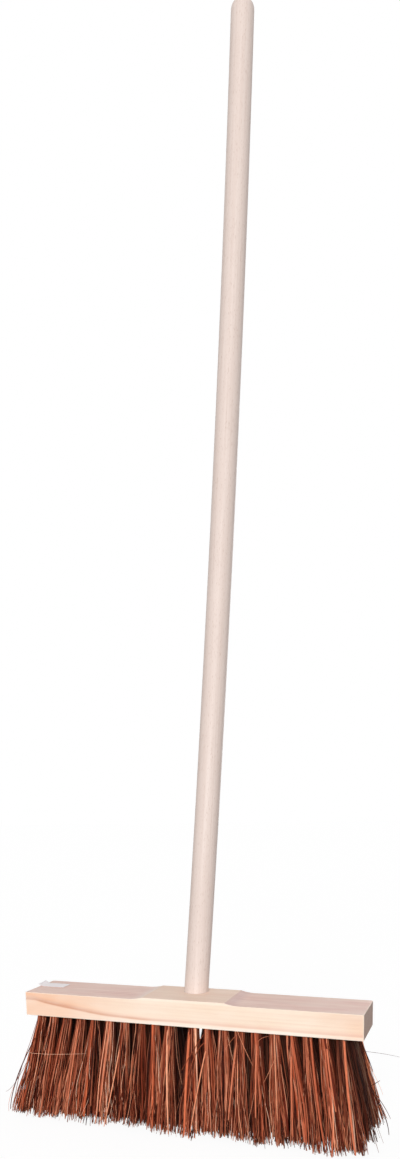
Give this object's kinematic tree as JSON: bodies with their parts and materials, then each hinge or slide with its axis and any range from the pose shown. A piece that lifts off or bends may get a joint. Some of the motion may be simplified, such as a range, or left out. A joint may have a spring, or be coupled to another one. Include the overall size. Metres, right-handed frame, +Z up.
{
  "type": "street broom",
  "caption": "Street broom: wooden head with a raised middle, ranks of splayed tufts of stiff brown palm fibre and a leaning round wooden handle with a domed end.",
  "frame": {"origin": "on the ground, under the middle of the whole broom's box as it stands on its tips", "axes": "+Z up, +X along the head towards its right end as seen from the front, +Y to the back, the way the handle leans"},
  "size_m": [0.4256, 0.3062, 1.3115],
  "materials": {
    "pine": "planed, unvarnished",
    "beech": "turned and sanded, unvarnished",
    "steel": "bright drawn wire",
    "paper": "smooth white",
    "palm_fibre": "dry, matt natural fibre"
  },
  "bodies": {
    "root": {"head_block": "pine", "handle": "beech", "handle_nail": "steel", "label": "paper", "tuft_rank_01": "palm_fibre", "tuft_rank_02": "palm_fibre", "tuft_rank_03": "palm_fibre", "tuft_rank_04": "palm_fibre", "tuft_rank_05": "palm_fibre", "tuft_rank_06": "palm_fibre", "tuft_rank_07": "palm_fibre", "tuft_rank_08": "palm_fibre", "tuft_rank_09": "palm_fibre", "tuft_rank_10": "palm_fibre", "tuft_rank_11": "palm_fibre", "tuft_rank_12": "palm_fibre", "tuft_rank_13": "palm_fibre", "tuft_rank_14": "palm_fibre", "tuft_rank_15": "palm_fibre", "tuft_rank_16": "palm_fibre", "tuft_rank_17": "palm_fibre", "tuft_rank_18": "palm_fibre", "tuft_rank_19": "palm_fibre", "tuft_rank_20": "palm_fibre"}
  },
  "joints": []
}
